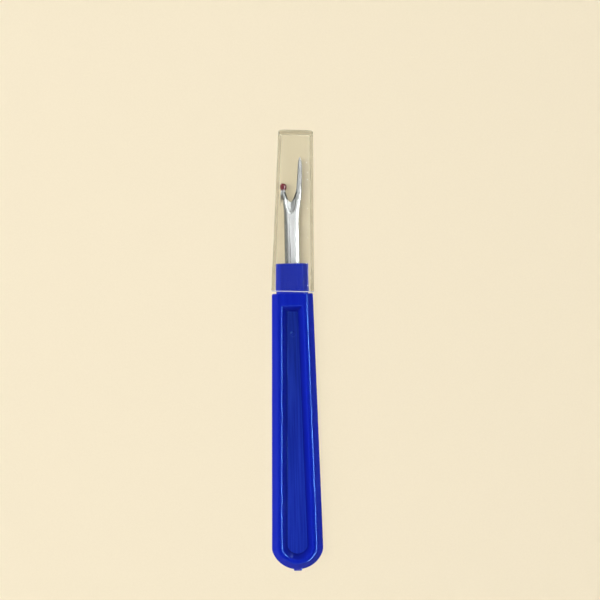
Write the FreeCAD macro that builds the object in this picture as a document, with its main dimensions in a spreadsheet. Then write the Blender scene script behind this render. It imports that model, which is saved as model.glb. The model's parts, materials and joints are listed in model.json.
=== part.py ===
import FreeCAD, Part
import math
import os

import Sketcher

# A hand seam ripper lying on its back: +Y runs from the butt of the handle to the closed end of the
# cap, +X is its width and +Z its thickness. The origin is the middle of the footprint, on the table.
# Every sub-part is drawn about the shoulder, the step where the grip stops and the neck begins, with
# its own XY plane at half the thickness. Heights are measured up from the shoulder, towards the tip.

SIZES = {
    # grip: straight tapered sides, a round butt and a sloped edge round both faces
    "grip_thickness": 10.0,
    "shoulder_width": 13.0,
    "butt_width": 16.2,
    "side_length": 80.5,
    "grip_length": 86.65,
    "butt_corner": 4.0,
    "slope_width": 2.0,
    "shoulder_round": 0.4,
    "gate_width": 2.6,
    "gate_thickness": 2.6,
    "gate_length": 0.6,
    # recess in each face of the grip
    "rim_inset": 3.3,
    "recess_top": 4.0,
    "recess_depth": 2.6,
    "recess_slope": 1.65,
    "pin_mark_diameter": 1.8,
    "pin_mark_depth": 0.12,
    "pin_mark_place": 12.8,
    # neck that carries the cap, with two low ribs on each face
    "neck_height": 9.45,
    "neck_base_width": 10.1,
    "neck_top_width": 9.55,
    "neck_base_thickness": 6.5,
    "neck_top_thickness": 6.2,
    "neck_bevel": 1.4,
    "rib_spacing": 4.4,
    "rib_width": 1.0,
    "rib_start": 0.8,
    "rib_length": 4.4,
    "rib_proud": 0.12,
    # blade: a flat shank with bevelled sides that opens into a fork
    "blade_side": 0.2,
    "blade_thickness": 1.4,
    "shank_width": 4.72,
    "shank_height": 23.0,
    "tang_depth": 18.0,
    "bevel_width": 1.1,
    "bevel_drop": 0.4,
    "fork_bevel": 0.25,
    # long prong: outer edge from root to shoulder, point, and inner edge back down to its foot
    "root_side": 2.88,
    "root_height": 27.8,
    "root_radius": 22.0,
    "waist_side": 3.45,
    "waist_height": 32.8,
    "waist_radius": 28.0,
    "shoulder_side": 3.6,
    "shoulder_height": 41.2,
    "shoulder_radius": 3.0,
    "tip_side": 3.05,
    "tip_height": 43.1,
    "inner_top_side": 2.52,
    "inner_top_height": 42.0,
    "inner_foot_side": 1.62,
    "inner_foot_height": 32.5,
    # crotch between the prongs
    "crotch_side": -0.22,
    "crotch_half": 0.62,
    "crotch_height": 29.25,
    "crotch_radius": 0.68,
    # short prong: inner edge, peg for the bead, and outer edge
    "short_inner_side": -1.69,
    "short_inner_height": 32.0,
    "short_inner_radius": 5.0,
    "short_outer_side": -3.05,
    "short_outer_height": 31.8,
    "short_outer_radius": 20.0,
    "short_root_side": -2.42,
    "short_root_height": 26.6,
    "peg_side": -2.3,
    "peg_width": 0.8,
    "peg_foot": 32.1,
    "peg_top": 33.9,
    # safety bead moulded on the peg
    "bead_side": -2.25,
    "bead_height": 33.45,
    "bead_width": 1.9,
    "bead_length": 2.6,
    # cap, which sits with the slack of its fit taken up to one side
    "cap_side": 0.11,
    "cap_gap": 0.5,
    "cap_lean": 2.2,
    "cap_length": 50.75,
    "cap_mouth_width": 13.4,
    "cap_end_width": 10.8,
    "cap_mouth_thickness": 9.5,
    "cap_end_thickness": 8.2,
    "cap_mouth_bevel": 2.1,
    "cap_end_bevel": 1.75,
    "cap_wall": 1.15,
    "cap_end_wall": 1.3,
    "cap_end_chamfer": 0.6,
    # place of the shoulder that puts the origin in the middle of the footprint
    "shoulder_place": 17.915,
}

# Sizes that follow from those in the sheet, as expressions.
BUTT_RISE = "(Sizes.grip_length - Sizes.side_length)"
BUTT_RADIUS = f"((Sizes.butt_width / 2)^2 + {BUTT_RISE}^2) / (2 * {BUTT_RISE})"
WALL_BEVEL_LOSS = "Sizes.cap_wall * (2 - sqrt(2))"
TOLERANCE = 1e-3


def make_sheet(doc):
    """The spreadsheet that every driving dimension is read from."""
    sheet = doc.addObject("Spreadsheet::Sheet", "Sizes")
    for row, (alias, size) in enumerate(SIZES.items(), start=1):
        sheet.set(f"A{row}", alias)
        sheet.set(f"B{row}", str(size))
        sheet.setAlias(f"B{row}", alias)
    doc.recompute()
    return sheet


def bind(obj, **expressions):
    """Bind properties to sheet expressions; a double underscore in a name stands for a dot."""
    for name, expression in expressions.items():
        obj.setExpression(name.replace("__", "."), expression)


def make_body(doc, name, side, along, turn="0"):
    """A body whose XY plane lies at half the thickness of the grip."""
    body = doc.addObject("PartDesign::Body", name)
    body.Label = name
    bind(
        body,
        Placement__Base__x=side,
        Placement__Base__y=f"Sizes.shoulder_place + {along}",
        Placement__Base__z="Sizes.grip_thickness / 2",
        Placement__Rotation__Angle=turn,
    )
    return body


def make_sketch(body, name, role, lift="0"):
    """An empty sketch on one of the body's own origin planes, lifted along that plane's normal."""
    sketch = body.newObject("Sketcher::SketchObject", name)
    plane = next(f for f in body.Origin.OriginFeatures if f.Role == role)
    sketch.AttachmentSupport = [(plane, "")]
    sketch.MapMode = "FlatFace"
    bind(sketch, AttachmentOffset__Base__z=lift)
    return sketch


def value_of(sketch, expression):
    """The number an expression comes to, used to seed the geometry it drives."""
    return float(sketch.evalExpression(expression))


def arc_between(start, end, radius, outward):
    """The shorter arc from start to end; an outward one bulges to the right of the way it runs."""
    chord = end - start
    sagitta = radius - math.sqrt(radius**2 - (chord.Length / 2) ** 2)
    across = FreeCAD.Vector(chord.y, -chord.x, 0).normalize()
    bulge = across * (sagitta if outward else -sagitta)
    return Part.Arc(start, (start + end) / 2 + bulge, end)


def end_at(sketch, number, place):
    """Which end of an edge is at a place: 1 for its start or 2 for its end."""
    return 1 if sketch.getPoint(number, 1).isEqual(place, TOLERANCE) else 2


def draw_outline(sketch, corners):
    """A closed outline. A corner is (x, y), or (x, y, radius, outward) where an arc leaves it."""
    places = [FreeCAD.Vector(value_of(sketch, c[0]), value_of(sketch, c[1]), 0) for c in corners]
    for number, corner in enumerate(corners):
        start = places[number]
        end = places[(number + 1) % len(places)]
        if len(corner) == 2:
            sketch.addGeometry(Part.LineSegment(start, end))
            start_point = 1
        else:
            arc = arc_between(start, end, value_of(sketch, corner[2]), corner[3])
            sketch.addGeometry(arc)
            start_point = end_at(sketch, number, start)
            radius = sketch.addConstraint(
                Sketcher.Constraint("Radius", number, sketch.Geometry[number].Radius)
            )
            sketch.renameConstraint(radius, f"radius_{number}")
            sketch.setExpression(f"Constraints.radius_{number}", corner[2])
        for kind, expression in zip(("DistanceX", "DistanceY"), corner):
            size = value_of(sketch, expression)
            index = sketch.addConstraint(Sketcher.Constraint(kind, -1, 1, number, start_point, size))
            sketch.renameConstraint(index, f"{kind}_{number}")
            sketch.setExpression(f"Constraints.{kind}_{number}", expression)
    join_ends(sketch, places)


def join_ends(sketch, places):
    """Join the end of each edge to the start of the next, whichever way round an arc is stored."""
    count = len(places)
    for number in range(count):
        after = (number + 1) % count
        this_end = end_at(sketch, number, places[after])
        next_start = end_at(sketch, after, places[after])
        sketch.addConstraint(Sketcher.Constraint("Coincident", number, this_end, after, next_start))


def rectangle(width, low, high, centre="0"):
    """The corners of a rectangle that is centred sideways and reaches from low to high."""
    return [
        (f"{centre} - {width} / 2", low),
        (f"{centre} + {width} / 2", low),
        (f"{centre} + {width} / 2", high),
        (f"{centre} - {width} / 2", high),
    ]


def octagon(width, thickness, bevel_x, bevel_z=None):
    """A rectangle with cut corners, centred on the origin."""
    bevel_z = bevel_z or bevel_x
    half_x = f"({width}) / 2"
    half_z = f"({thickness}) / 2"
    near_x = f"({half_x} - ({bevel_x}))"
    near_z = f"({half_z} - ({bevel_z}))"
    return [
        (f"-{near_x}", f"-{half_z}"),
        (near_x, f"-{half_z}"),
        (half_x, f"-{near_z}"),
        (half_x, near_z),
        (near_x, half_z),
        (f"-{near_x}", half_z),
        (f"-{half_x}", near_z),
        (f"-{half_x}", f"-{near_z}"),
    ]


def section(body, name, height, corners):
    """A sketch across the object; the XZ plane's normal is -Y, so a height lifts it backwards."""
    sketch = make_sketch(body, name, "XZ_Plane", f"-({height})")
    draw_outline(sketch, corners)
    return sketch


def loft(body, kind, name, low, high):
    """A straight-sided loft, added or cut, between two sketches."""
    feature = body.newObject(f"PartDesign::{kind}", name)
    feature.Profile = (low, [""])
    feature.Sections = [(high, [""])]
    feature.Ruled = True
    return feature


def pad(body, name, sketch, length):
    """A pad that grows equally to both sides of its sketch."""
    feature = body.newObject("PartDesign::Pad", name)
    feature.Profile = sketch
    feature.SideType = "Symmetric"
    bind(feature, Length=length)
    return feature


def pocket(body, name, sketch, length, taper="0", reverse=False):
    """A pocket cut to a depth, with walls that may lean."""
    feature = body.newObject("PartDesign::Pocket", name)
    feature.Profile = sketch
    feature.Reversed = reverse
    bind(feature, Length=length, TaperAngle=taper)
    return feature


def edges_where(feature, test):
    """Names of the edges whose every sampled point passes the test."""
    names = []
    for number, edge in enumerate(feature.Shape.Edges, start=1):
        if all(test(point) for point in edge.discretize(7)):
            names.append(f"Edge{number}")
    return names


def dress(body, kind, name, base, edges, **sizes):
    """A Fillet or a Chamfer on some edges of the feature before it."""
    feature = body.newObject(f"PartDesign::{kind}", name)
    feature.Base = (base, edges)
    bind(feature, **sizes)
    return feature


def near(value, target):
    return abs(value - target) < TOLERANCE


def grip_half_width(place):
    """Half the width of the grip, as an expression, at a distance below the shoulder."""
    spread = "(Sizes.butt_width - Sizes.shoulder_width)"
    return f"((Sizes.shoulder_width + {spread} * {place} / Sizes.side_length) / 2)"


def add_recess(doc, body):
    """The long recess: its lip follows the outline of the grip, one inset inside it."""
    radius = f"({BUTT_RADIUS} - Sizes.rim_inset)"
    half_top = f"({grip_half_width('Sizes.recess_top')} - Sizes.rim_inset)"
    half_butt = "(Sizes.butt_width / 2 - Sizes.rim_inset)"
    corner = f"-Sizes.grip_length + {BUTT_RADIUS} - sqrt({radius}^2 - {half_butt}^2)"
    lip = make_sketch(body, "recess_lip", "XY_Plane", "Sizes.grip_thickness / 2")
    draw_outline(
        lip,
        [
            (f"-{half_butt}", corner, radius, True),
            (half_butt, corner),
            (half_top, "-Sizes.recess_top"),
            (f"-{half_top}", "-Sizes.recess_top"),
        ],
    )
    taper = "-atan(Sizes.recess_slope / Sizes.recess_depth)"
    recess = pocket(body, "recess", lip, "Sizes.recess_depth", taper)
    doc.recompute()
    both = body.newObject("PartDesign::Mirrored", "recess_both_faces")
    both.Originals = [recess]
    plane = next(f for f in body.Origin.OriginFeatures if f.Role == "XY_Plane")
    both.MirrorPlane = (plane, [""])
    body.Tip = both
    return both


def add_pin_mark(body):
    """The shallow round mark of an ejector pin, on the floor of the front recess."""
    floor = "Sizes.grip_thickness / 2 - Sizes.recess_depth"
    sketch = make_sketch(body, "pin_mark_circle", "XY_Plane", floor)
    place = -SIZES["pin_mark_place"]
    size = SIZES["pin_mark_diameter"]
    sketch.addGeometry(Part.Circle(FreeCAD.Vector(0, place, 0), FreeCAD.Vector(0, 0, 1), size / 2))
    sketch.addConstraint(Sketcher.Constraint("PointOnObject", 0, 3, -2))
    sketch.addConstraint(Sketcher.Constraint("DistanceY", -1, 1, 0, 3, place))
    sketch.addConstraint(Sketcher.Constraint("Diameter", 0, size))
    sketch.setExpression("Constraints[1]", "-Sizes.pin_mark_place")
    sketch.setExpression("Constraints[2]", "Sizes.pin_mark_diameter")
    return pocket(body, "pin_mark", sketch, "Sizes.pin_mark_depth")


def add_neck(body):
    """The tapered neck, with two low ribs that run through it and stand proud of both faces."""
    base_corners = octagon("Sizes.neck_base_width", "Sizes.neck_base_thickness", "Sizes.neck_bevel")
    top_corners = octagon("Sizes.neck_top_width", "Sizes.neck_top_thickness", "Sizes.neck_bevel")
    base = section(body, "neck_base", "0", base_corners)
    top = section(body, "neck_top", "Sizes.neck_height", top_corners)
    loft(body, "AdditiveLoft", "neck", base, top)
    thickness = "Sizes.neck_base_thickness + 2 * Sizes.rib_proud"
    rib_end = "Sizes.rib_start + Sizes.rib_length"
    for name, side in (("left", "-1"), ("right", "1")):
        sketch = make_sketch(body, f"rib_{name}_outline", "XY_Plane")
        centre = f"{side} * Sizes.rib_spacing / 2"
        draw_outline(sketch, rectangle("Sizes.rib_width", "Sizes.rib_start", rib_end, centre))
        pad(body, f"rib_{name}", sketch, thickness)


def blade_section():
    """The shank and its tang in section: a flat bar with sloped edges."""
    return octagon("Sizes.shank_width", "Sizes.blade_thickness", "Sizes.bevel_width", "Sizes.bevel_drop")


def build_handle(doc):
    """The moulded handle: grip, gate mark, neck, recesses, pin mark and the slot for the tang."""
    body = make_body(doc, "handle", "0", "0")
    outline = make_sketch(body, "grip_outline", "XY_Plane")
    draw_outline(
        outline,
        [
            ("-Sizes.butt_width / 2", "-Sizes.side_length", BUTT_RADIUS, True),
            ("Sizes.butt_width / 2", "-Sizes.side_length"),
            ("Sizes.shoulder_width / 2", "0"),
            ("-Sizes.shoulder_width / 2", "0"),
        ],
    )
    grip = pad(body, "grip", outline, "Sizes.grip_thickness")
    doc.recompute()
    corners = edges_where(grip, lambda p: near(p.y, -SIZES["side_length"]))
    grip = dress(body, "Fillet", "butt_corners", grip, corners, Radius="Sizes.butt_corner")
    doc.recompute()
    face = SIZES["grip_thickness"] / 2
    slopes = edges_where(grip, lambda p: near(abs(p.z), face))
    slopes = [edge for edge in slopes if edge not in edges_where(grip, lambda p: near(p.y, 0))]
    sloped = dress(body, "Chamfer", "grip_slopes", grip, slopes, Size="Sizes.slope_width")
    doc.recompute()
    shoulder = edges_where(sloped, lambda p: near(p.y, 0))
    dress(body, "Fillet", "shoulder_edges", sloped, shoulder, Radius="Sizes.shoulder_round")
    gate = make_sketch(body, "gate_outline", "XY_Plane")
    gate_low = "-Sizes.grip_length - Sizes.gate_length"
    gate_high = "-Sizes.grip_length + Sizes.gate_length"
    draw_outline(gate, rectangle("Sizes.gate_width", gate_low, gate_high))
    pad(body, "gate_mark", gate, "Sizes.gate_thickness")
    add_neck(body)
    add_recess(doc, body)
    add_pin_mark(body)
    slot = section(body, "tang_slot_outline", "Sizes.neck_height", blade_section())
    pocket(body, "tang_slot", slot, "Sizes.tang_depth", reverse=True)
    return body


def fork_outline():
    """The fork in plan, from the top of the shank round the long prong to the short one."""
    half = "Sizes.shank_width / 2"
    crotch_right = "Sizes.crotch_side + Sizes.crotch_half"
    crotch_left = "Sizes.crotch_side - Sizes.crotch_half"
    peg_left = "Sizes.peg_side - Sizes.peg_width / 2"
    peg_right = "Sizes.peg_side + Sizes.peg_width / 2"
    return [
        (f"-{half}", "Sizes.shank_height"),
        (half, "Sizes.shank_height", "Sizes.root_radius", False),
        ("Sizes.root_side", "Sizes.root_height", "Sizes.waist_radius", True),
        ("Sizes.waist_side", "Sizes.waist_height"),
        ("Sizes.shoulder_side", "Sizes.shoulder_height", "Sizes.shoulder_radius", True),
        ("Sizes.tip_side", "Sizes.tip_height"),
        ("Sizes.inner_top_side", "Sizes.inner_top_height"),
        ("Sizes.inner_foot_side", "Sizes.inner_foot_height"),
        (crotch_right, "Sizes.crotch_height", "Sizes.crotch_radius", False),
        (crotch_left, "Sizes.crotch_height", "Sizes.short_inner_radius", False),
        ("Sizes.short_inner_side", "Sizes.short_inner_height"),
        (peg_right, "Sizes.peg_foot"),
        (peg_right, "Sizes.peg_top"),
        (peg_left, "Sizes.peg_top"),
        (peg_left, "Sizes.peg_foot"),
        ("Sizes.short_outer_side", "Sizes.short_outer_height", "Sizes.short_outer_radius", True),
        ("Sizes.short_root_side", "Sizes.short_root_height"),
    ]


def build_blade(doc):
    """The steel blade: tang and shank in one bar, then the fork with its bevelled long prong."""
    body = make_body(doc, "blade", "Sizes.blade_side", "0")
    foot = "Sizes.neck_height - Sizes.tang_depth"
    shank_section = section(body, "shank_section", foot, blade_section())
    shank = body.newObject("PartDesign::Pad", "shank")
    shank.Profile = shank_section
    shank.Reversed = True
    bind(shank, Length=f"Sizes.shank_height - ({foot})")
    outline = make_sketch(body, "fork_outline", "XY_Plane")
    draw_outline(outline, fork_outline())
    fork = pad(body, "fork", outline, "Sizes.blade_thickness")
    doc.recompute()
    face = SIZES["blade_thickness"] / 2
    side = SIZES["shank_width"] / 2
    low = SIZES["shank_height"]
    high = SIZES["shoulder_height"]

    def on_long_prong(point):
        beside = point.x > side - TOLERANCE and low - TOLERANCE < point.y < high + TOLERANCE
        return near(abs(point.z), face) and beside

    outer_edges = edges_where(fork, on_long_prong)
    dress(body, "Chamfer", "long_prong_bevel", fork, outer_edges, Size="Sizes.fork_bevel")
    return body


def build_safety_ball(doc):
    """An egg-shaped bead, with a slot that the peg at the end of the short prong fills."""
    middle_x = "Sizes.blade_side + Sizes.bead_side"
    middle_y = "Sizes.shoulder_place + Sizes.bead_height"
    egg = doc.addObject("Part::Ellipsoid", "bead_egg")
    bind(
        egg,
        Radius1="Sizes.bead_length / 2",
        Radius2="Sizes.bead_width / 2",
        Radius3="Sizes.bead_width / 2",
        Placement__Base__x=middle_x,
        Placement__Base__y=middle_y,
        Placement__Base__z="Sizes.grip_thickness / 2",
    )
    egg.Placement.Rotation = FreeCAD.Rotation(FreeCAD.Vector(1, 0, 0), -90)
    slot = doc.addObject("Part::Box", "peg_slot")
    slot_length = "Sizes.bead_length"
    bind(
        slot,
        Length="Sizes.peg_width",
        Width=slot_length,
        Height="Sizes.blade_thickness",
        Placement__Base__x="Sizes.blade_side + Sizes.peg_side - Sizes.peg_width / 2",
        Placement__Base__y=f"Sizes.shoulder_place + Sizes.peg_top - {slot_length}",
        Placement__Base__z="(Sizes.grip_thickness - Sizes.blade_thickness) / 2",
    )
    bead = doc.addObject("Part::Cut", "safety_ball")
    bead.Label = "safety_ball"
    bead.Base = egg
    bead.Tool = slot
    return bead


def cap_section(body, name, height, part, wall, bevel_loss):
    """The cap in section at its mouth or its end, drawn in from the outside by a wall."""
    width = f"Sizes.cap_{part}_width - 2 * {wall}"
    thickness = f"Sizes.cap_{part}_thickness - 2 * {wall}"
    return section(body, name, height, octagon(width, thickness, f"Sizes.cap_{part}_bevel - {bevel_loss}"))


def build_cap(doc):
    """A box section with cut corners that narrows to its closed end, hollowed from the mouth."""
    body = make_body(doc, "cap", "Sizes.cap_side", "Sizes.cap_gap", "-Sizes.cap_lean")
    outer_mouth = cap_section(body, "outer_mouth", "0", "mouth", "0", "0")
    outer_end = cap_section(body, "outer_end", "Sizes.cap_length", "end", "0", "0")
    loft(body, "AdditiveLoft", "outer_shell", outer_mouth, outer_end)
    bottom = "Sizes.cap_length - Sizes.cap_end_wall"
    inner_mouth = cap_section(body, "inner_mouth", "0", "mouth", "Sizes.cap_wall", WALL_BEVEL_LOSS)
    inner_end = cap_section(body, "inner_end", bottom, "end", "Sizes.cap_wall", WALL_BEVEL_LOSS)
    hollow = loft(body, "SubtractiveLoft", "hollow", inner_mouth, inner_end)
    doc.recompute()
    closed_end = edges_where(hollow, lambda p: near(p.y, SIZES["cap_length"]))
    dress(body, "Chamfer", "closed_end_edges", hollow, closed_end, Size="Sizes.cap_end_chamfer")
    return body


def check_and_write(doc, nodes):
    """Write one STEP file for each sub-part, once every object and shape has been found sound."""
    for obj in doc.Objects:
        if "Invalid" in obj.State or "Error" in obj.State:
            raise RuntimeError(f"{obj.Name} did not compute: {obj.State}")
    os.makedirs("parts", exist_ok=True)
    for node in nodes:
        shape = node.Shape
        if shape.isNull() or not shape.isValid() or len(shape.Solids) != 1:
            raise RuntimeError(f"{node.Label} is not one valid solid")
        shape.exportStep(f"parts/{node.Label}.step")
        print(node.Label, round(shape.Volume, 2), shape.BoundBox)


def main():
    doc = FreeCAD.newDocument("seam_ripper")
    make_sheet(doc)
    nodes = [build_handle(doc), build_blade(doc), build_safety_ball(doc), build_cap(doc)]
    doc.recompute()
    check_and_write(doc, nodes)


main()
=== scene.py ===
import json
import math

import bmesh
import bpy
from mathutils import Matrix, Vector


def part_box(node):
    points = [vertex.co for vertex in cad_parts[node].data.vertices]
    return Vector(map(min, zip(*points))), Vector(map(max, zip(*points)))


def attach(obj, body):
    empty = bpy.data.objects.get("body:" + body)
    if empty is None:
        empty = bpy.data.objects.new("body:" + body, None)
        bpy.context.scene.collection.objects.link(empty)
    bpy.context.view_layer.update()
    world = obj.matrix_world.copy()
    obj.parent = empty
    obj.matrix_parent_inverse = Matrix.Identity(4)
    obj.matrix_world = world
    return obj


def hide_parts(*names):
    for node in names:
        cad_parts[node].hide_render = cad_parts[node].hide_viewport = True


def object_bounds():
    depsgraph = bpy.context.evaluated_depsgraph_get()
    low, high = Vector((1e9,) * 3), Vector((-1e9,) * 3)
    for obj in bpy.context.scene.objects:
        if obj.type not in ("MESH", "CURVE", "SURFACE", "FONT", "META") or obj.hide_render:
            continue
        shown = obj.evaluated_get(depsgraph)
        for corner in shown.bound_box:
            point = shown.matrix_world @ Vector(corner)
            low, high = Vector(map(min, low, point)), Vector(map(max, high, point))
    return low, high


# A seam ripper lying face up on a pale card, seen from straight above: a blue moulded handle, a steel
# blade with its red safety bead, and a clear cap. Lengths in the shapes below are millimetres, and the
# meshes are scaled to metres when they are put in place. Materials, lamps and the camera are in metres.

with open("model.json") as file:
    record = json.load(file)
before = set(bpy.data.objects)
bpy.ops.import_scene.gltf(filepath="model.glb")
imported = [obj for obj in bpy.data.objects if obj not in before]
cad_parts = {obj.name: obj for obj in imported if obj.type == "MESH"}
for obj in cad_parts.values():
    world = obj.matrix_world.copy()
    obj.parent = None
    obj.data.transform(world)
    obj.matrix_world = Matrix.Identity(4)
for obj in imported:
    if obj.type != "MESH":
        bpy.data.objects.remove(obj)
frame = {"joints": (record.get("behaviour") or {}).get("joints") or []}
CAD_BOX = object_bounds()
MM = 0.001

# Grip, measured from the shoulder: straight tapered sides and a round butt.
SHOULDER_WIDTH = 13.0
BUTT_WIDTH = 16.2
SIDE_LENGTH = 80.5
GRIP_LENGTH = 86.65
BUTT_RISE = GRIP_LENGTH - SIDE_LENGTH
BUTT_RADIUS = ((BUTT_WIDTH / 2) ** 2 + BUTT_RISE**2) / (2 * BUTT_RISE)
BUTT_CENTRE = BUTT_RADIUS - GRIP_LENGTH
BUTT_BLEND = 0.6
HALF_THICKNESS = 5.0
SLOPE_WIDTH = 2.0
RIM_INSET = 3.3
RECESS_TOP = 4.0
RECESS_DEPTH = 2.6
RECESS_RUN = 1.65
FLOOR_INSET = RIM_INSET + RECESS_RUN
FLOOR_LEVEL = HALF_THICKNESS - RECESS_DEPTH
SHOULDER_ROUND = 0.4
TOP_CORNER = 0.5
SLOPE_ROUND = 0.8
LIP_ROUND = 0.65
FOOT_ROUND = 0.06
PARTING_RIDGE = 0.03
DRAFT = 0.05
TOP_STEPS = 6
CORNER_STEPS = 6
SIDE_STEPS = 24
BUTT_STEPS = 24

# Round mark of an ejector pin in the recess; its rings are shares of its radius and of its depth.
PIN_MARK_PLACE = 12.8
PIN_MARK_RADIUS = 0.9
PIN_MARK_DEPTH = 0.12
PIN_MARK_RINGS = ((1.0, 0.0), (0.9, 0.7), (0.8, 1.0))
PIN_MARK_SPOKES = 32

# Stub left by the mould's gate at the butt.
GATE_WIDTH = 2.6
GATE_SINK = 1.5
GATE_END = 87.25
GATE_EDGE = 0.12
GATE_BEVEL = 0.3
GATE_ROUND = 0.1

# Neck above the shoulder; its end edge is rounded by (drop below the end, inset).
NECK_HEIGHT = 9.45
NECK_SINK = 1.0
NECK_WIDTHS = (10.1, 9.55)
NECK_THICKNESSES = (6.5, 6.2)
NECK_BEVEL = 1.4
NECK_ROUND = 0.5
NECK_EDGE = ((0.3, 0.0), (0.1, 0.1), (0.0, 0.3))
NECK_MARGIN = 0.1
SOCKET_SLACK = 0.02
SOCKET_RISE = 1.0

# Two low ribs on each face of the neck; their sides are (inset, drop below the top).
RIB_SIDE = 2.2
RIB_WIDTH = 1.0
RIB_START = 0.8
RIB_END = 5.2
RIB_TOP = 3.37
RIB_ROUND = 0.45
RIB_RINGS = ((0.0, 0.4), (0.0, 0.1), (0.06, 0.0), (0.3, 0.0))
OCTAGON_STEPS = 4

# Cap, measured from its mouth.
CAP_LENGTH = 50.75
CAP_WIDTHS = (13.4, 10.8)
CAP_THICKNESSES = (9.5, 8.2)
CAP_BEVELS = (2.1, 1.75)
CAP_WALL = 1.15
CAP_END_WALL = 1.3
CAP_END_MARGIN = 0.8
CAP_EDGE_ROUND = 0.5
CAP_EDGE_SHRINK = 0.15
CAP_LEAST_BEVEL = 0.25
CAP_INNER_ROUND = 0.4
CAP_MOUTH_ROUND = 0.25
CAP_END_ROUND = 0.55
CAP_STEPS = 5

# Blade, measured from the shoulder along its own middle line.
BLADE_HALF_THICKNESS = 0.7
EDGE_HALF_THICKNESS = 0.3
LEAST_HALF_THICKNESS = 0.06
EDGE_ROUND = 0.22
INNER_EDGE_FALL = 0.9
TANG_FOOT = -8.55
SHANK_HALF_WIDTH = 2.36
SHANK_SLOPE = 1.1
LONG_TIP = 43.1
SHORT_TIP = 33.0
SHORT_PRONG_REACH = 3.05
CROTCH_SIDE = -0.22
CROTCH_RADIUS = 0.68
CROTCH_BOTTOM = 28.85
PRONG_FOOT = 29.4

# Lines along the blade as (height, value): the distance of each outline from the middle line, the width
# of the sloped outer edge, and half the thickness.
LONG_OUTER = [
    (23.0, 2.36), (25.5, 2.52), (27.8, 2.88), (30.5, 3.27), (32.8, 3.45), (41.2, 3.6), (LONG_TIP, 3.05),
]
LONG_INNER = [(29.25, 0.40), (30.6, 1.0), (32.5, 1.62), (37.0, 2.08), (42.0, 2.52), (LONG_TIP, 3.05)]
SHORT_OUTER = [(23.0, -2.36), (26.6, -2.42), (29.3, -2.78), (31.8, -3.05), (SHORT_TIP, -2.7)]
SHORT_INNER = [(29.25, -0.84), (30.6, -1.36), (32.0, -1.69), (SHORT_TIP, -1.9)]
LONG_SLOPE = [
    (9.0, 1.2), (23.0, 1.1), (28.0, 0.9), (33.0, 0.5), (36.0, 0.3), (42.0, 0.25), (LONG_TIP, 0.02),
]
SHORT_SLOPE = [(9.0, 1.0), (24.0, 0.9), (29.0, 0.6), (32.5, 0.3)]
LONG_THICKNESS = [(38.0, 0.7), (41.5, 0.62), (LONG_TIP, 0.2)]
SHORT_THICKNESS = [(30.0, 0.7), (SHORT_TIP, 0.5)]

# Hollow ground round the crotch, with a steep lip and a shallow inside, and a band of painted shade along
# the cutting edges in it.
GRIND_MIDDLE = (-0.1, 30.3)
GRIND_HALF_WIDTH = 1.8
GRIND_DROP = 5.2
GRIND_LIP = 0.35
GRIND_LIP_SLOPE = 0.40
GRIND_SLOPE = 0.06
GRIND_END = 33.5
GRIND_FADE = 3.0
# Painted shade: a nearly black band along the gap's inner edges, between these heights and within this
# distance of them.
SHADE_BAND_LOW = 29.4
SHADE_BAND_HIGH = 31.9
SHADE_BAND_WIDTH = 0.5

# Mesh of the blade: columns across each half, the share of them on the flat, and rows along it as
# (first height, spacing, count), closer round the crotch, where they follow its arc.
COLUMNS = 26
FLAT_SHARE = 0.6
WIDEST_SLOPE = 0.7
TANG_ROWS = (TANG_FOOT, 0.0, 8.0)
SHANK_ROWS = ((9.0, 0.7, 20), (23.0, 0.12, 48))
CROTCH_DEGREES = range(0, 66, 5)
CROTCH_GAP = 0.08
PRONG_SPACING = 0.15
WELD_DISTANCE = 0.0005
FLAT_NORMAL = 0.995

# Bead, as shares of its half size.
BEAD_RINGS = 24
BEAD_SPOKES = 36
BEAD_FULLNESS = 0.06
BEAD_COLLAR = 0.5
BEAD_COLLAR_RINGS = 5
BEAD_GIRTH = 0.98

# Blue plastic: darker and lighter shade, and the size of its flow lines across and along the object.
SHELL_BLUE = ((0.003, 0.010, 0.34), (0.005, 0.014, 0.385))
# The floor's blue reaches darker than the shell's: painted shade in the recess.
FLOOR_BLUE_WITH_PAINTED_SHADE = ((0.003, 0.010, 0.26), (0.009, 0.024, 0.38))
# The neck's blue is lighter and paler than the shell's: painted light for the clear cap's reflection
# lying over it.
NECK_BLUE_WITH_PAINTED_LIGHT = ((0.008, 0.020, 0.36), (0.010, 0.026, 0.42))
SHELL_FLOW = (0.0015, 0.05)
FLOOR_FLOW = (0.0005, 0.02)
SHELL_ROUGHNESS = 0.11
FLOOR_ROUGHNESS = 0.22
NECK_ROUGHNESS = 0.13
PLASTIC_SHEEN = 0.25
BLUE_SHEEN = (0.20, 0.50, 1.0)
NECK_SHEEN = (0.8, 0.9, 1.0)
NO_TINT = (1.0, 1.0, 1.0)
# Painted shade: the recess walls darken to this share where they meet the floor.
HOLLOW_PAINTED_SHADE = 0.5
# Painted shade: the recess floor darkens to this share at the recess top, over this length below it.
FLOOR_PAINTED_SHADE = 0.62
FLOOR_SHADE_LENGTH = 45.0
SHELL, FLOOR, WALL, NECK = range(4)

# Steels: name, colour, roughness, size of the grinding lines across and along the blade, their depth.
STEELS = (
    ("polished_steel", (0.45, 0.44, 0.43), 0.24, (0.00025, 0.02), 0.000003),
    ("ground_steel", (0.20, 0.19, 0.183), 0.42, (0.00022, 0.0003), 0.00004),
    ("brushed_steel", (0.62, 0.585, 0.58), 0.31, (0.0003, 0.02), 0.000004),
    # The last steel is nearly black: painted shade along the gap's inner edges.
    ("painted_shade_edge_steel", (0.010, 0.0098, 0.0092), 0.6, (0.0002, 0.001), 0.000004),
)
STEEL_LINE_SHADE = 0.86
POLISHED, GROUND, BRUSHED, PAINTED_SHADE_EDGE = range(4)
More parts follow.
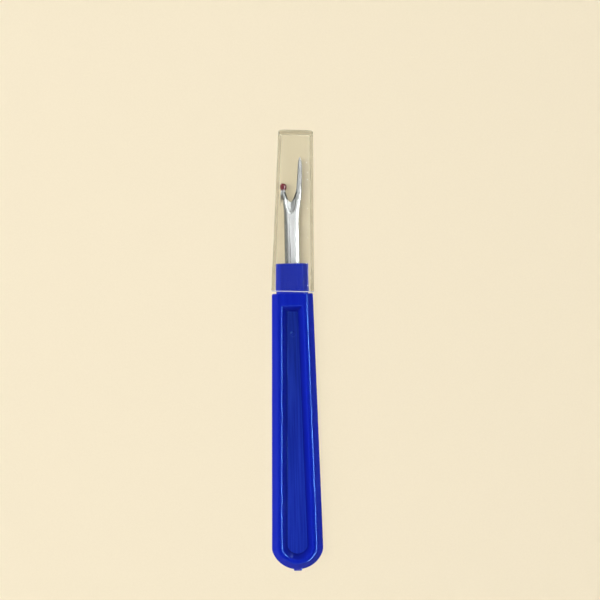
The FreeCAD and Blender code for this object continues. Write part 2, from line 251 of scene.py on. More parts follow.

# Red plastic, clear plastic and its mouth rim, painted pale and opaque as a highlight, and the card.
BEAD_RED = ((0.145, 0.013, 0.022), (0.20, 0.022, 0.034))
BEAD_FLOW = (0.0006, 0.0009)
BEAD_ROUGHNESS = 0.3
CLEAR_TINT = (0.955, 0.955, 0.925, 1.0)
CLEAR_SHEEN = (0.45, 0.46, 0.5, 1.0)
CLEAR_SHADOW = (0.94, 0.935, 0.91, 1.0)
CLEAR_DEPTH_TINT = (0.72, 0.71, 0.64, 1.0)
CLEAR_DENSITY = 180.0
CLEAR_IOR = 1.3
CLEAR, RIM = range(2)
# Painted highlight: the pale colour of the cap's mouth rim.
RIM_PAINTED_HIGHLIGHT = ((0.40, 0.41, 0.52), (0.52, 0.53, 0.62))
CARD_CREAM = ((0.80, 0.695, 0.515), (0.815, 0.71, 0.53))
FLOOR_REACH = 6000

# Light tent: brightness on each side, at the foot and overhead, the heights of its bright band, its tint.
TENT_LEFT = 0.50
TENT_RIGHT = 0.35
TENT_FOOT = 0.85
TENT_TOP = 0.45
TENT_BAND = (0.55, 0.85)
TENT_TINT = (0.96, 1.0, 0.99, 1.0)

# Lamps: name, place, size, watts, colour, the rays that see it, and whether it casts shadows.
WHITE = (1.0, 1.0, 1.0)
COOL = (0.78, 0.87, 1.0)
LAMPS = (
    ("overhead", (-0.35, 0.05, 1.35), (0.5, 0.5), 10.0, WHITE, "diffuse", True),
    ("left_fill", (-3.76, 0.0, 1.36), (2.0, 1.0), 94.0, WHITE, "diffuse", False),
    ("right_fill", (3.76, 0.0, 1.36), (2.0, 1.0), 46.0, WHITE, "diffuse", False),
    ("right_strip", (0.50, 0.0, 0.55), (2.4, 0.10), 140.0, COOL, "glossy", True),
    ("near_window", (0.0, -0.7, 1.0), (0.9, 0.35), 8.0, WHITE, "glossy", True),
    ("far_window", (0.0, 0.75, 1.2), (0.7, 0.5), 4.0, WHITE, "glossy", True),
)

# Camera: lens and sensor in millimetres, height above the object, aim beside its middle, turn in degrees.
LENS = 135.0
SENSOR = 36.0
CAMERA_HEIGHT = 0.709
CAMERA_AIM = (0.00235, 0.01582, 0)
CAMERA_TURN = -1.184


# ------------------------------------------------------------------- shapes


def between(pair, share):
    return pair[0] + (pair[1] - pair[0]) * share


def rounded(corners, radii, steps, closed=True):
    """A line through the corners, each of them replaced by a tangent arc of its radius."""
    line = []
    count = len(corners)
    for number, (corner, radius) in enumerate(zip(corners, radii)):
        if radius == 0 or (not closed and number in (0, count - 1)):
            line.append(corner)
            continue
        back = (corners[number - 1] - corner).normalized()
        ahead = (corners[(number + 1) % count] - corner).normalized()
        turn = math.pi - back.angle(ahead)
        side = 1 if ahead.cross(back) > 0 else -1
        start = corner + back * radius * math.tan(turn / 2)
        centre = corner + (back + ahead).normalized() * radius / math.cos(turn / 2)
        for step in range(steps + 1):
            spin = Matrix.Rotation(side * turn * step / steps, 2)
            line.append(centre + spin @ (start - centre))
    return line


def octagon(width, thickness, bevel, corner_round):
    """A rectangle with cut and rounded corners, across the object."""
    x = width / 2
    z = thickness / 2
    quarter = [(x, z - bevel), (x - bevel, z)]
    corners = quarter + [(-a, b) for a, b in reversed(quarter)]
    corners += [(-a, -b) for a, b in corners]
    return rounded([Vector(corner) for corner in corners], [corner_round] * 8, OCTAGON_STEPS)


def upright(section, height):
    return [Vector((point.x, height, point.y)) for point in section]


def add_loft(bm, rings, close_start=True, close_end=True, bands=()):
    """Join rings of equal length by a skin, and fill its ends; bands gives each band's material."""
    rows = [[bm.verts.new(point) for point in ring] for ring in rings]
    bands = bands or [0] * len(rows)
    for row, following, material in zip(rows, rows[1:], bands):
        for number in range(len(row)):
            after = (number + 1) % len(row)
            face = bm.faces.new((row[number], row[after], following[after], following[number]))
            face.material_index = material
    if close_start:
        bm.faces.new(rows[0])
    if close_end:
        bm.faces.new(rows[-1])
    return rows


def make_piece(name, bm, place, materials):
    """A mesh object from millimetre geometry, put in the row frame."""
    bmesh.ops.recalc_face_normals(bm, faces=bm.faces)
    bm.transform(place @ Matrix.Scale(MM, 4))
    mesh = bpy.data.meshes.new(name)
    bm.to_mesh(mesh)
    bm.free()
    piece = bpy.data.objects.new(name, mesh)
    bpy.context.scene.collection.objects.link(piece)
    for material in materials:
        mesh.materials.append(material)
    return piece


def block(rings, place):
    bm = bmesh.new()
    add_loft(bm, rings)
    return make_piece("block", bm, place, [])


def combine(piece, tool, operation):
    """Union or difference of two closed pieces, kept in the first; the tool is removed."""
    modifier = piece.modifiers.new("combine", "BOOLEAN")
    modifier.object = tool
    modifier.operation = operation
    modifier.solver = "EXACT"
    graph = bpy.context.evaluated_depsgraph_get()
    mesh = bpy.data.meshes.new_from_object(piece.evaluated_get(graph))
    piece.modifiers.clear()
    piece.data = mesh
    bpy.data.objects.remove(tool)


def shade(piece, sharp_degrees):
    """Smooth shading that keeps flat faces flat and breaks at edges sharper than the angle."""
    piece.data.shade_smooth()
    piece.data.set_sharp_from_angle(angle=math.radians(sharp_degrees))
    weighted = piece.modifiers.new("weighted_normals", "WEIGHTED_NORMAL")
    weighted.keep_sharp = True
    weighted.weight = 100


# ---------------------------------------------------------------- materials


class Nodes:
    """A short way to write a node tree: add() makes a node, and sets its sockets or links them."""

    def __init__(self, block):
        self.block = block
        self.block.use_nodes = True
        self.tree = self.block.node_tree
        self.tree.nodes.clear()

    def add(self, kind, settings=None, **sockets):
        node = self.tree.nodes.new("ShaderNode" + kind)
        for name, value in (settings or {}).items():
            setattr(node, name, value)
        for name, value in sockets.items():
            socket = self.find(node, name)
            if isinstance(value, bpy.types.NodeSocket):
                self.tree.links.new(value, socket)
            else:
                socket.default_value = value
        return node

    def find(self, node, name):
        """An input by its name, with underscores for spaces, or by its number, as _0, _1 and so on."""
        if name[1:].isdigit():
            return node.inputs[int(name[1:])]
        return node.inputs[name.replace("_", " ")]

    def streaks(self, across, along, detail=4.0):
        """Noise drawn out along the object, its grain given in metres."""
        place = self.add("TexCoord").outputs["Object"]
        scale = (1 / across, 1 / along, 1 / across)
        stretched = self.add("Mapping", Vector=place, Scale=scale).outputs["Vector"]
        return self.add("TexNoise", Vector=stretched, Scale=1.0, Detail=detail).outputs["Fac"]

    def ramp(self, factor, low, high, shades):
        """The first shade up to the low factor, the second from the high one."""
        node = self.add("ValToRGB", Fac=factor)
        for element, place, colour in zip(node.color_ramp.elements, (low, high), shades):
            element.position = place
            element.color = (*colour, 1.0)
        return node.outputs["Color"]

    def spread(self, factor, low, high):
        """Map noise, which mostly lies between 0.3 and 0.7, to a range of values."""
        node = self.add("MapRange", _0=factor, _1=0.3, _2=0.7, _3=low, _4=high)
        return node.outputs["Result"]

    def fade(self, axis, stops):
        """Grey read along one axis of the object, from (millimetres, grey) stops; it paints shade."""
        place = self.add("TexCoord").outputs["Object"]
        level = self.add("SeparateXYZ", Vector=place).outputs[axis]
        low = stops[0][0]
        high = stops[-1][0]
        share = self.add("MapRange", _0=level, _1=low * MM, _2=high * MM, _3=0.0, _4=1.0)
        node = self.add("ValToRGB", Fac=share.outputs["Result"])
        elements = node.color_ramp.elements
        elements[0].color = (*[stops[0][1]] * 3, 1.0)
        elements[1].color = (*[stops[-1][1]] * 3, 1.0)
        for at, grey in stops[1:-1]:
            elements.new((at - low) / (high - low)).color = (grey, grey, grey, 1.0)
        return node.outputs["Color"]

    def multiply(self, first, second):
        """The product of two colours; each is a socket or a plain colour."""
        settings = {"data_type": "RGBA", "blend_type": "MULTIPLY"}
        return self.add("Mix", settings, _0=1.0, _6=first, _7=second).outputs[2]

    def bump(self, height, depth):
        return self.add("Bump", Height=height, Distance=depth, Strength=1.0).outputs["Normal"]

    def surface(self, shader):
        self.add("OutputMaterial", Surface=shader.outputs["BSDF"])
        return self.block


def plastic(name, shades, rough, flow, sheen=NO_TINT, fade=()):
    """Moulded gloss plastic with faint flow lines; fade is an axis and stops along which painted shade
    darkens it.
    """
    nodes = Nodes(bpy.data.materials.new(name))
    lines = nodes.streaks(*flow)
    grain = nodes.streaks(0.0009, 0.0012, 2.0)
    colour = nodes.ramp(lines, 0.35, 0.7, shades)
    if fade:
        colour = nodes.multiply(colour, nodes.fade(*fade))
    shader = nodes.add(
        "BsdfPrincipled",
        Base_Color=colour,
        Roughness=nodes.spread(grain, rough * 0.85, rough * 1.2),
        IOR=1.49,
        Specular_IOR_Level=PLASTIC_SHEEN,
        Specular_Tint=(*sheen, 1.0),
        Normal=nodes.bump(grain, 0.000002),
    )
    return nodes.surface(shader)


def steel(name, colour, rough, grain, depth):
    """Steel with grinding lines that run along the blade."""
    nodes = Nodes(bpy.data.materials.new(name))
    lines = nodes.streaks(*grain, 6.0)
    darker = tuple(channel * STEEL_LINE_SHADE for channel in colour)
    shader = nodes.add(
        "BsdfPrincipled",
        Base_Color=nodes.ramp(lines, 0.35, 0.65, (darker, colour)),
        Metallic=1.0,
        Roughness=nodes.spread(lines, rough * 0.8, rough * 1.25),
        Normal=nodes.bump(lines, depth),
    )
    return nodes.surface(shader)


def clear_plastic():
    """Water-clear plastic. Lamp light passes straight through it, a little dimmed."""
    nodes = Nodes(bpy.data.materials.new("clear_styrene"))
    ripple = nodes.streaks(0.0016, 0.012, 1.0)
    body = nodes.add(
        "BsdfPrincipled",
        Base_Color=CLEAR_TINT,
        Roughness=nodes.spread(ripple, 0.10, 0.13),
        IOR=CLEAR_IOR,
        Specular_Tint=CLEAR_SHEEN,
        Transmission_Weight=1.0,
        Normal=nodes.bump(ripple, 0.000002),
    )
    through = nodes.add("BsdfTransparent", Color=CLEAR_SHADOW)
    lamp = nodes.add("LightPath").outputs["Is Shadow Ray"]
    mixed = nodes.add("MixShader", _0=lamp, _1=body.outputs["BSDF"], _2=through.outputs["BSDF"])
    depth = nodes.add("VolumeAbsorption", Color=CLEAR_DEPTH_TINT, Density=CLEAR_DENSITY)
    nodes.add("OutputMaterial", Surface=mixed.outputs["Shader"], Volume=depth.outputs["Volume"])
    return nodes.block


def painted_highlight_rim_plastic():
    """The cut rim of the clear plastic, made pale and opaque: a painted highlight along the mouth's edge.
    """
    nodes = Nodes(bpy.data.materials.new("clear_styrene_rim_painted_highlight"))
    grain = nodes.streaks(0.0006, 0.0006, 2.0)
    colour = nodes.ramp(grain, 0.3, 0.7, RIM_PAINTED_HIGHLIGHT)
    return nodes.surface(nodes.add("BsdfPrincipled", Base_Color=colour, Roughness=0.35))


def card():
    """Matt card with a fine fibre and no gloss."""
    nodes = Nodes(bpy.data.materials.new("pale_card"))
    fibre = nodes.streaks(0.0006, 0.0006)
    shader = nodes.add(
        "BsdfPrincipled",
        Base_Color=nodes.ramp(fibre, 0.3, 0.7, CARD_CREAM),
        Specular_IOR_Level=0.0,
        Roughness=0.85,
        Normal=nodes.bump(fibre, 0.00001),
    )
    return nodes.surface(shader)


def handle_materials(place):
    """The blue plastics in the order of SHELL, FLOOR, WALL and NECK; painted shade darkens the recess
    walls towards the floor and the floor towards the recess top, and the neck is painted lighter and
    paler.
    """
    full = 2 * HALF_THICKNESS
    # Painted shade: the walls darken with their distance below the rim, the floor towards the recess top.
    painted_shade_depths = [(0, 1.0), (RECESS_DEPTH, HOLLOW_PAINTED_SHADE), (full - RECESS_DEPTH, HOLLOW_PAINTED_SHADE), (full, 1.0)]
    top = place.translation.y / MM - RECESS_TOP
    painted_shade_lengths = [(top - FLOOR_SHADE_LENGTH, 1.0), (top, FLOOR_PAINTED_SHADE)]
    floor_painted_shade = ("Y", painted_shade_lengths)
    wall_painted_shade = ("Z", painted_shade_depths)
    return [
        plastic("blue_plastic", SHELL_BLUE, SHELL_ROUGHNESS, SHELL_FLOW, BLUE_SHEEN),
        plastic("blue_plastic_floor_painted_shade", FLOOR_BLUE_WITH_PAINTED_SHADE, FLOOR_ROUGHNESS, FLOOR_FLOW, BLUE_SHEEN, floor_painted_shade),
        plastic("blue_plastic_wall_painted_shade", SHELL_BLUE, SHELL_ROUGHNESS, SHELL_FLOW, BLUE_SHEEN, wall_painted_shade),
        plastic("blue_plastic_neck_painted_light", NECK_BLUE_WITH_PAINTED_LIGHT, NECK_ROUGHNESS, SHELL_FLOW, NECK_SHEEN),
    ]


# ------------------------------------------------------------------- handle


def grip_half_width(below):
    return between((SHOULDER_WIDTH, BUTT_WIDTH), below / SIDE_LENGTH) / 2


def ring_top(inset, level):
    """How far below the shoulder a ring's top edge lies: on the shoulder, the rim or the recess."""
    if inset >= RIM_INSET - LIP_ROUND:
        return RECESS_TOP + inset - RIM_INSET
    below_rim = max(level - HALF_THICKNESS + SHOULDER_ROUND, 0)
    edge = SHOULDER_ROUND - math.sqrt(SHOULDER_ROUND**2 - min(below_rim, SHOULDER_ROUND) ** 2)
    if inset <= SLOPE_WIDTH:
        return edge
    share = (inset - SLOPE_WIDTH) / (RIM_INSET - LIP_ROUND - SLOPE_WIDTH)
    return between((SHOULDER_ROUND, RECESS_TOP - LIP_ROUND), share)


def grip_ring(inset, level):
    """The grip's outline inset all round, closed, at a level above the middle plane."""
    top = ring_top(inset, abs(level))
    corner_x = grip_half_width(top) - inset
    half = [Vector(((corner_x - TOP_CORNER) * step / TOP_STEPS, -top)) for step in range(TOP_STEPS)]
    centre = Vector((corner_x - TOP_CORNER, -top - TOP_CORNER))
    for step in range(CORNER_STEPS + 1):
        angle = math.pi / 2 * (1 - step / CORNER_STEPS)
        half.append(centre + Vector((math.cos(angle), math.sin(angle))) * TOP_CORNER)
    radius = BUTT_RADIUS - inset
    butt_x = BUTT_WIDTH / 2 - inset
    corner = Vector((butt_x, BUTT_CENTRE - math.sqrt(radius**2 - butt_x**2)))
    side_start = half[-1].copy()
    side_end = corner + (side_start - corner).normalized() * BUTT_BLEND
    half += [side_start.lerp(side_end, step / SIDE_STEPS) for step in range(1, SIDE_STEPS + 1)]

    def on_butt(angle):
        return Vector((math.cos(angle) * radius, BUTT_CENTRE + math.sin(angle) * radius))

    begin = math.atan2(corner.y - BUTT_CENTRE, corner.x) - BUTT_BLEND / radius
    for step in range(1, CORNER_STEPS + 1):
        share = step / CORNER_STEPS
        half.append(side_end.lerp(corner, share).lerp(corner.lerp(on_butt(begin), share), share))
    angles = (begin, -math.pi / 2)
    half += [on_butt(between(angles, step / BUTT_STEPS)) for step in range(1, BUTT_STEPS + 1)]
    half[0].x = half[-1].x = 0
    whole = half + [Vector((-point.x, point.y)) for point in reversed(half[1:-1])]
    return [Vector((point.x, point.y, level)) for point in whole]


def grip_profile():
    """Insets and levels from the floor of the back recess, round the side, to the front recess."""
    corners = [
        (0.0, 0.0),
        (PARTING_RIDGE, PARTING_RIDGE),
        (DRAFT, HALF_THICKNESS - SLOPE_WIDTH),
        (SLOPE_WIDTH, HALF_THICKNESS),
        (RIM_INSET, HALF_THICKNESS),
        (FLOOR_INSET, FLOOR_LEVEL),
        (FLOOR_INSET + FOOT_ROUND, FLOOR_LEVEL),
    ]
    radii = [0, 0, SLOPE_ROUND, SLOPE_ROUND, LIP_ROUND, FOOT_ROUND, 0]
    front = rounded([Vector(corner) for corner in corners], radii, CORNER_STEPS, closed=False)
    back = [Vector((point.x, -point.y)) for point in reversed(front[1:])]
    return back + front


def fill_floor(bm, ring):
    """The floor of the front recess, with the shallow round mark of an ejector pin."""
    marks = []
    for size, depth in PIN_MARK_RINGS:
        marks.append([])
        for step in range(PIN_MARK_SPOKES):
            angle = math.tau * step / PIN_MARK_SPOKES
            x = math.cos(angle) * PIN_MARK_RADIUS * size
            y = math.sin(angle) * PIN_MARK_RADIUS * size - PIN_MARK_PLACE
            marks[-1].append(Vector((x, y, FLOOR_LEVEL - PIN_MARK_DEPTH * depth)))
    rows = add_loft(bm, marks, close_start=False)
    edges = []
    for loop in (ring, rows[0]):
        for vert, after in zip(loop, loop[1:] + loop[:1]):
            edges.append(bm.edges.get((vert, after)))
    filled = bmesh.ops.triangle_fill(bm, edges=edges, use_beauty=True)
    floor = [face for face in filled["geom"] if isinstance(face, bmesh.types.BMFace)]
    mark = {face for row in rows for vert in row for face in vert.link_faces}
    for face in floor + list(mark):
        face.material_index = FLOOR


def build_grip(place):
    """The grip with a recess in its front and its back, as one closed skin."""
    profile = grip_profile()
    wall_inset = RIM_INSET - LIP_ROUND / 2
    bands = [WALL if min(a.x, b.x) > wall_inset else SHELL for a, b in zip(profile, profile[1:])]
    rings = [grip_ring(point.x, point.y) for point in profile]
    bm = bmesh.new()
    rows = add_loft(bm, rings, close_end=False, bands=bands)
    fill_floor(bm, rows[-1])
    back_floor = next(face for face in bm.faces if len(face.verts) == len(rows[0]))
    back_floor.material_index = FLOOR
    return make_piece("handle_moulding", bm, place, handle_materials(place))


def neck_ring(height, inset):
    share = height / NECK_HEIGHT
    width = between(NECK_WIDTHS, share) - 2 * inset
    thickness = between(NECK_THICKNESSES, share) - 2 * inset
    return upright(octagon(width, thickness, NECK_BEVEL, NECK_ROUND), height)


def rib_rings(side, face):
    """A low rib with rounded ends, on the front or the back of the neck."""
    rings = []
    for inset, drop in RIB_RINGS:
        low = Vector((side - RIB_WIDTH / 2 + inset, RIB_START + inset))
        high = Vector((side + RIB_WIDTH / 2 - inset, RIB_END - inset))
        corners = [low, Vector((high.x, low.y)), high, Vector((low.x, high.y))]
        outline = rounded(corners, [RIB_ROUND - inset] * 4, OCTAGON_STEPS)
        rings.append([Vector((point.x, point.y, (RIB_TOP - drop) * face)) for point in outline])
    return rings


def gate_ring(below, inset):
    width = GATE_WIDTH - 2 * inset
    return upright(octagon(width, width, GATE_BEVEL, GATE_ROUND), -below)


def build_handle(place, blade_place):
    """Grip, neck, ribs and gate mark in one moulding, with a socket for the blade's tang."""
    handle = build_grip(place)
    neck = [neck_ring(-NECK_SINK, 0.0)]
    neck += [neck_ring(NECK_HEIGHT - drop, inset) for drop, inset in NECK_EDGE]
    combine(handle, block(neck, place), "UNION")
    for side in (-RIB_SIDE, RIB_SIDE):
        for face in (-1, 1):
            combine(handle, block(rib_rings(side, face), place), "UNION")
    gate = [
        gate_ring(GRIP_LENGTH - GATE_SINK, 0),
        gate_ring(GATE_END - GATE_EDGE, 0),
        gate_ring(GATE_END, GATE_EDGE),
    ]
    combine(handle, block(gate, place), "UNION")
    socket = [
        shank_section(TANG_FOOT, SOCKET_SLACK),
        shank_section(NECK_HEIGHT + SOCKET_RISE, SOCKET_SLACK),
    ]
    combine(handle, block(socket, blade_place), "DIFFERENCE")
    neck_foot = place.translation.y + NECK_MARGIN * MM
    for face in handle.data.polygons:
        if face.center.y > neck_foot:
            face.material_index = NECK
    handle.visible_diffuse = False
    shade(handle, 35)
    return handle


# -------------------------------------------------------------------- blade


def shank_section(height, slack):
    """The shank's section: a flat bar with sloped sides."""
    x = SHANK_HALF_WIDTH + slack
    flat = x - SHANK_SLOPE
    top = BLADE_HALF_THICKNESS + slack
    edge = EDGE_HALF_THICKNESS + slack
    corners = [(x, -edge), (x, edge), (flat, top), (-flat, top)]
    corners += [(-x, edge), (-x, -edge), (-flat, -top), (flat, -top)]
    return [Vector((a, height, b)) for a, b in corners]


def smooth(points, height):
    """A value read from a smooth line through (height, value) points."""
    if height <= points[0][0]:
        return points[0][1]
    if height >= points[-1][0]:
        return points[-1][1]
    number = max(n for n, point in enumerate(points[:-1]) if point[0] <= height)

    def slope(n):
        low = points[max(n - 1, 0)]
        high = points[min(n + 1, len(points) - 1)]
        return (high[1] - low[1]) / (high[0] - low[0])

    low, high = points[number], points[number + 1]
    run = high[0] - low[0]
    t = (height - low[0]) / run
    start = (1 + 2 * t) * (1 - t) ** 2 * low[1] + t * (1 - t) ** 2 * run * slope(number)
    end = t * t * (3 - 2 * t) * high[1] + t * t * (t - 1) * run * slope(number + 1)
    return start + end


def gap_side(inner, side, height):
    """Where a prong's inner edge lies: on the middle line, round the crotch, or along the prong."""
    if height <= CROTCH_BOTTOM:
        return CROTCH_SIDE
    if height < inner[0][0]:
        rise = CROTCH_BOTTOM + CROTCH_RADIUS - height
        return CROTCH_SIDE + side * math.sqrt(CROTCH_RADIUS**2 - rise**2)
    return smooth(inner, height)


def grind(x, height):
    """How far the ground hollow round the crotch lies below the blade's face."""
    across = x - GRIND_MIDDLE[0]
    up = min(height - GRIND_MIDDLE[1], 0)
    share = math.hypot(across / GRIND_HALF_WIDTH, up / GRIND_DROP)
    if share >= 1 or share < 1e-6:
        return 0.0
    inside = math.hypot(across, up) * (1 / share - 1)
    fade = max(0.0, min(1.0, (GRIND_END - height) / GRIND_FADE))
    return fade * (min(inside, GRIND_LIP) * GRIND_LIP_SLOPE + max(inside - GRIND_LIP, 0) * GRIND_SLOPE)


def on_painted_shade_band(x, height):
    """Whether a point lies in the band of painted shade along the cutting edges, beside the gap."""
    if not SHADE_BAND_LOW < height < SHADE_BAND_HIGH:
        return False
    from_long = x - gap_side(LONG_INNER, 1, height)
    from_short = gap_side(SHORT_INNER, -1, height) - x
    return abs(from_long) < SHADE_BAND_WIDTH or abs(from_short) < SHADE_BAND_WIDTH


def blade_level(x, height, from_outer, from_inner, slope_width, half):
    """Half the thickness of the blade at a point, from its distances to its two edges."""
    drop = half * (BLADE_HALF_THICKNESS - EDGE_HALF_THICKNESS) / BLADE_HALF_THICKNESS
    level = half - drop * max(0.0, 1 - from_outer / max(slope_width, 0.01))
    if height > CROTCH_BOTTOM and from_inner < EDGE_ROUND:
        level -= (EDGE_ROUND - from_inner) * INNER_EDGE_FALL
    if from_outer < EDGE_ROUND:
        level -= EDGE_ROUND - from_outer
    return max(level - grind(x, height), LEAST_HALF_THICKNESS)


def prong_rows(outer, inner, slope, thickness, side, heights):
    """Points over one half of the blade's face, from its inner edge to its outer one."""
    rows = []
    for height in heights:
        outside = smooth(outer, height)
        width = abs(outside - gap_side(inner, side, height))
        slope_width = min(smooth(slope, height), width * WIDEST_SLOPE)
        half = smooth(thickness, height)
        row = []
        for column in range(COLUMNS + 1):
            share = column / COLUMNS
            if share > FLAT_SHARE:
                from_outer = slope_width * (1 - share) / (1 - FLAT_SHARE)
            else:
                from_outer = width - (width - slope_width) * share / FLAT_SHARE
            x = outside - side * from_outer
            level = blade_level(x, height, from_outer, width - from_outer, slope_width, half)
            row.append(Vector((x, height, level)))
        rows.append(row)
    return rows


def skin_prong(bm, rows, first_open):
    """Front, back, outer wall and, from the crotch up, the inner wall of one half of the blade."""
    front = [[bm.verts.new(point) for point in row] for row in rows]
    back = [[bm.verts.new(Vector((p.x, p.y, -p.z))) for p in row] for row in rows]
    for number in range(len(rows) - 1):
        for sheet in (front, back):
            for column in range(len(rows[0]) - 1):
                corners = (sheet[number][column], sheet[number][column + 1])
                bm.faces.new((*corners, sheet[number + 1][column + 1], sheet[number + 1][column]))
        walls = [-1] + ([0] if number >= first_open else [])
        for column in walls:
            corners = (front[number][column], back[number][column])
            bm.faces.new((*corners, back[number + 1][column], front[number + 1][column]))
    for number in (0, -1):
        for column in range(len(rows[0]) - 1):
            corners = (front[number][column], front[number][column + 1])
            bm.faces.new((*corners, back[number][column + 1], back[number][column]))


def blade_heights(tip):
    """Rows along the blade up to a prong's tip, and the number of the first row above the crotch."""
    heights = list(TANG_ROWS)
    for first, spacing, count in SHANK_ROWS:
        heights += [first + step * spacing for step in range(count)]
    for angle in CROTCH_DEGREES:
        heights.append(CROTCH_BOTTOM + CROTCH_RADIUS * (1 - math.cos(math.radians(angle))))
    start = heights[-1] + CROTCH_GAP
    count = max(int((tip - start) / PRONG_SPACING), 1)
    heights += [between((start, tip), step / count) for step in range(count + 1)]
    return heights, heights.index(CROTCH_BOTTOM)


def build_blade(place):
    bm = bmesh.new()
    heights, first_open = blade_heights(LONG_TIP)
    rows = prong_rows(LONG_OUTER, LONG_INNER, LONG_SLOPE, LONG_THICKNESS, 1, heights)
    skin_prong(bm, rows, first_open)
    heights, first_open = blade_heights(SHORT_TIP)
    rows = prong_rows(SHORT_OUTER, SHORT_INNER, SHORT_SLOPE, SHORT_THICKNESS, -1, heights)
    skin_prong(bm, rows, first_open)
    bmesh.ops.remove_doubles(bm, verts=bm.verts, dist=WELD_DISTANCE)
    bm.normal_update()
    for face in bm.faces:
        middle = face.calc_center_median()
        # Faces along the gap's inner edges are painted dark: painted shade.
        if on_painted_shade_band(middle.x, middle.y):
            face.material_index = PAINTED_SHADE_EDGE
        elif middle.y > PRONG_FOOT or grind(middle.x, middle.y) > GRIND_LIP * GRIND_LIP_SLOPE:
            face.material_index = GROUND
        elif abs(face.normal.z) > FLAT_NORMAL:
            face.material_index = BRUSHED
    blade = make_piece("forked_blade", bm, place, [steel(*values) for values in STEELS])
    shade(blade, 15)
    return blade


# --------------------------------------------------------------------- bead


def build_bead():
    """An egg a little fuller at the top, with a short collar where it grips the peg."""
    low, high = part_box("safety_ball")
    half = (high - low) / (2 * MM)
    rings = []
    for step in range(1, BEAD_RINGS):
        angle = math.pi * step / BEAD_RINGS
        height = -math.cos(angle) * half.y
        girth = math.sin(angle) * (1 + BEAD_FULLNESS * height / half.y)
        if step < BEAD_COLLAR_RINGS:
            girth = max(girth, BEAD_COLLAR)
        ring = []
        for spoke in range(BEAD_SPOKES):
            turn = math.tau * spoke / BEAD_SPOKES
            x = math.cos(turn) * girth * half.x * BEAD_GIRTH
            z = math.sin(turn) * girth * half.z * BEAD_GIRTH
            ring.append(Vector((x, height, z)))
        rings.append(ring)
    bm = bmesh.new()
    add_loft(bm, rings)
    red = plastic("red_plastic", BEAD_RED, BEAD_ROUGHNESS, BEAD_FLOW)
    bead = make_piece("safety_bead", bm, Matrix.Translation((low + high) / 2), [red])
    shade(bead, 40)
    return bead


# ---------------------------------------------------------------------- cap


def cap_ring(inset, height):
    share = height / CAP_LENGTH
    section = octagon(
        between(CAP_WIDTHS, share) - 2 * inset,
        between(CAP_THICKNESSES, share) - 2 * inset,
        max(between(CAP_BEVELS, share) - inset, CAP_LEAST_BEVEL),
        CAP_EDGE_ROUND - CAP_EDGE_SHRINK * inset,
    )
    return upright(section, height)


def build_cap(place):
    """One skin: from the inside of the closed end, out over the mouth, to the outside of the end."""
    inner_end = CAP_LENGTH - CAP_END_WALL
    corners = [
        (CAP_WALL + CAP_END_MARGIN, inner_end),
        (CAP_WALL, inner_end),
        (CAP_WALL, 0.0),
        (0.0, 0.0),
        (0.0, CAP_LENGTH),
        (CAP_END_MARGIN, CAP_LENGTH),
    ]
    radii = [0, CAP_INNER_ROUND, CAP_MOUTH_ROUND, CAP_MOUTH_ROUND, CAP_END_ROUND, 0]
    profile = rounded([Vector(corner) for corner in corners], radii, CAP_STEPS, closed=False)
    # The faces round the mouth take the pale rim: painted highlight.
    bands = [RIM if max(a.y, b.y) <= CAP_MOUTH_ROUND else CLEAR for a, b in zip(profile, profile[1:])]
    bm = bmesh.new()
    add_loft(bm, [cap_ring(point.x, point.y) for point in profile], bands=bands)
    cap = make_piece("clear_cap", bm, place, [clear_plastic(), painted_highlight_rim_plastic()])
    cap.visible_diffuse = False
    shade(cap, 35)
    return cap


# ---------------------------------------------------------- object and stage


def places():
    """Where the shoulder, the blade's middle line and the cap's mouth lie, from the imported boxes."""
    low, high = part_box("handle")
    middle = (low.z + high.z) / 2
    shoulder = high.y - NECK_HEIGHT * MM
    on_handle = Matrix.Translation((0, shoulder, middle))
    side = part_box("blade")[0].x + SHORT_PRONG_REACH * MM
    on_blade = Matrix.Translation((side, shoulder, middle))
    axis = Vector(frame["joints"][0]["axis"])
    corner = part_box("cap")[0]
    half_mouth = CAP_WIDTHS[0] / 2 * MM
    mouth = (corner.x + half_mouth * axis.y, corner.y + half_mouth * axis.x, middle)
    lean = Matrix.Rotation(-math.atan2(axis.x, axis.y), 4, "Z")
    return on_handle, on_blade, Matrix.Translation(mouth) @ lean


def build_object():
    on_handle, on_blade, on_cap = places()
    pieces = [
        (build_handle(on_handle, on_blade), "handle", "handle", "handle_plastic"),
        (build_blade(on_blade), "handle", "blade", "blade_steel"),
        (build_bead(), "handle", "safety_ball", "bead_plastic"),
        (build_cap(on_cap), "cap", "cap", "clear_plastic"),
    ]
    for piece, body, node, slot in pieces:
        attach(piece, body)
        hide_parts(node)


def build_floor():
    bm = bmesh.new()
    bmesh.ops.create_grid(bm, x_segments=8, y_segments=8, size=FLOOR_REACH)
    floor = make_piece("card_floor", bm, Matrix.Identity(4), [card()])


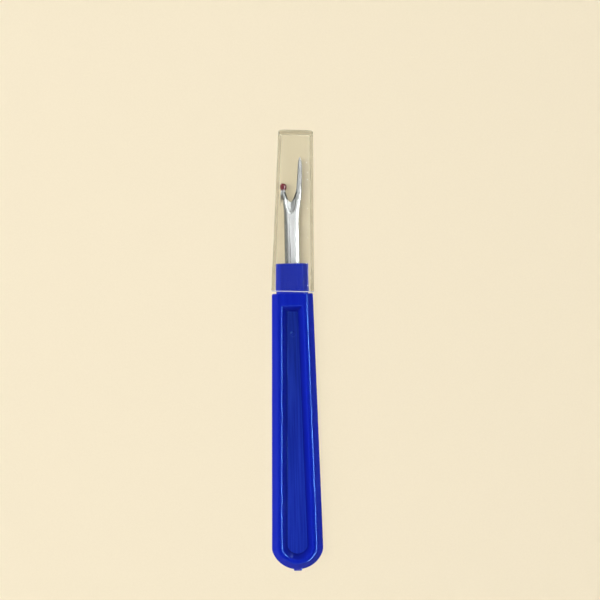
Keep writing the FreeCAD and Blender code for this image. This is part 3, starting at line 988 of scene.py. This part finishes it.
def build_world():
    """A soft tent of light: brightest at half height, dim overhead, brighter on the left."""
    nodes = Nodes(bpy.data.worlds.new("soft_tent"))
    bpy.context.scene.world = nodes.block
    place = nodes.add("TexCoord").outputs["Generated"]
    split = nodes.add("SeparateXYZ", Vector=place)
    side = nodes.add("MapRange", _0=split.outputs["X"], _1=-1.0, _2=1.0, _3=TENT_LEFT, _4=TENT_RIGHT)
    height = nodes.add("ValToRGB", Fac=split.outputs["Z"])
    stops = height.color_ramp.elements
    stops[0].color = (*[TENT_FOOT] * 3, 1.0)
    stops[1].color = (*[TENT_TOP] * 3, 1.0)
    for position in TENT_BAND:
        stops.new(position).color = (1.0, 1.0, 1.0, 1.0)
    tinted = nodes.multiply(height.outputs["Color"], TENT_TINT)
    sky = nodes.add("Background", Color=tinted, Strength=side.outputs["Result"])
    nodes.add("OutputWorld", Surface=sky.outputs["Background"])


def add_lamp(name, place, size, watts, colour, seen_as, shadow):
    """A rectangular lamp aimed at the object, seen only by "diffuse" or by "glossy" rays."""
    data = bpy.data.lights.new(name, "AREA")
    data.shape = "RECTANGLE"
    data.size, data.size_y = size
    data.energy = watts
    data.color = colour
    data.use_shadow = shadow
    light = bpy.data.objects.new(name, data)
    light.location = place
    light.rotation_mode = "QUATERNION"
    light.rotation_quaternion = (-Vector(place)).to_track_quat("-Z", "Y")
    light.visible_camera = False
    light.visible_transmission = False
    light.visible_diffuse = seen_as == "diffuse"
    light.visible_glossy = seen_as == "glossy"
    bpy.context.scene.collection.objects.link(light)


def build_camera():
    """Straight above, with the object leaning a little to the left in the frame."""
    aim = (CAD_BOX[0] + CAD_BOX[1]) / 2 + Vector(CAMERA_AIM)
    data = bpy.data.cameras.new("camera")
    data.lens = LENS
    data.sensor_width = SENSOR
    camera = bpy.data.objects.new("camera", data)
    camera.location = (aim.x, aim.y, aim.z + CAMERA_HEIGHT)
    camera.rotation_euler = (0, 0, math.radians(CAMERA_TURN))
    bpy.context.scene.collection.objects.link(camera)
    bpy.context.scene.camera = camera


build_object()
build_floor()
build_world()
for lamp in LAMPS:
    add_lamp(*lamp)
build_camera()
bpy.context.scene.view_settings.view_transform = "Standard"
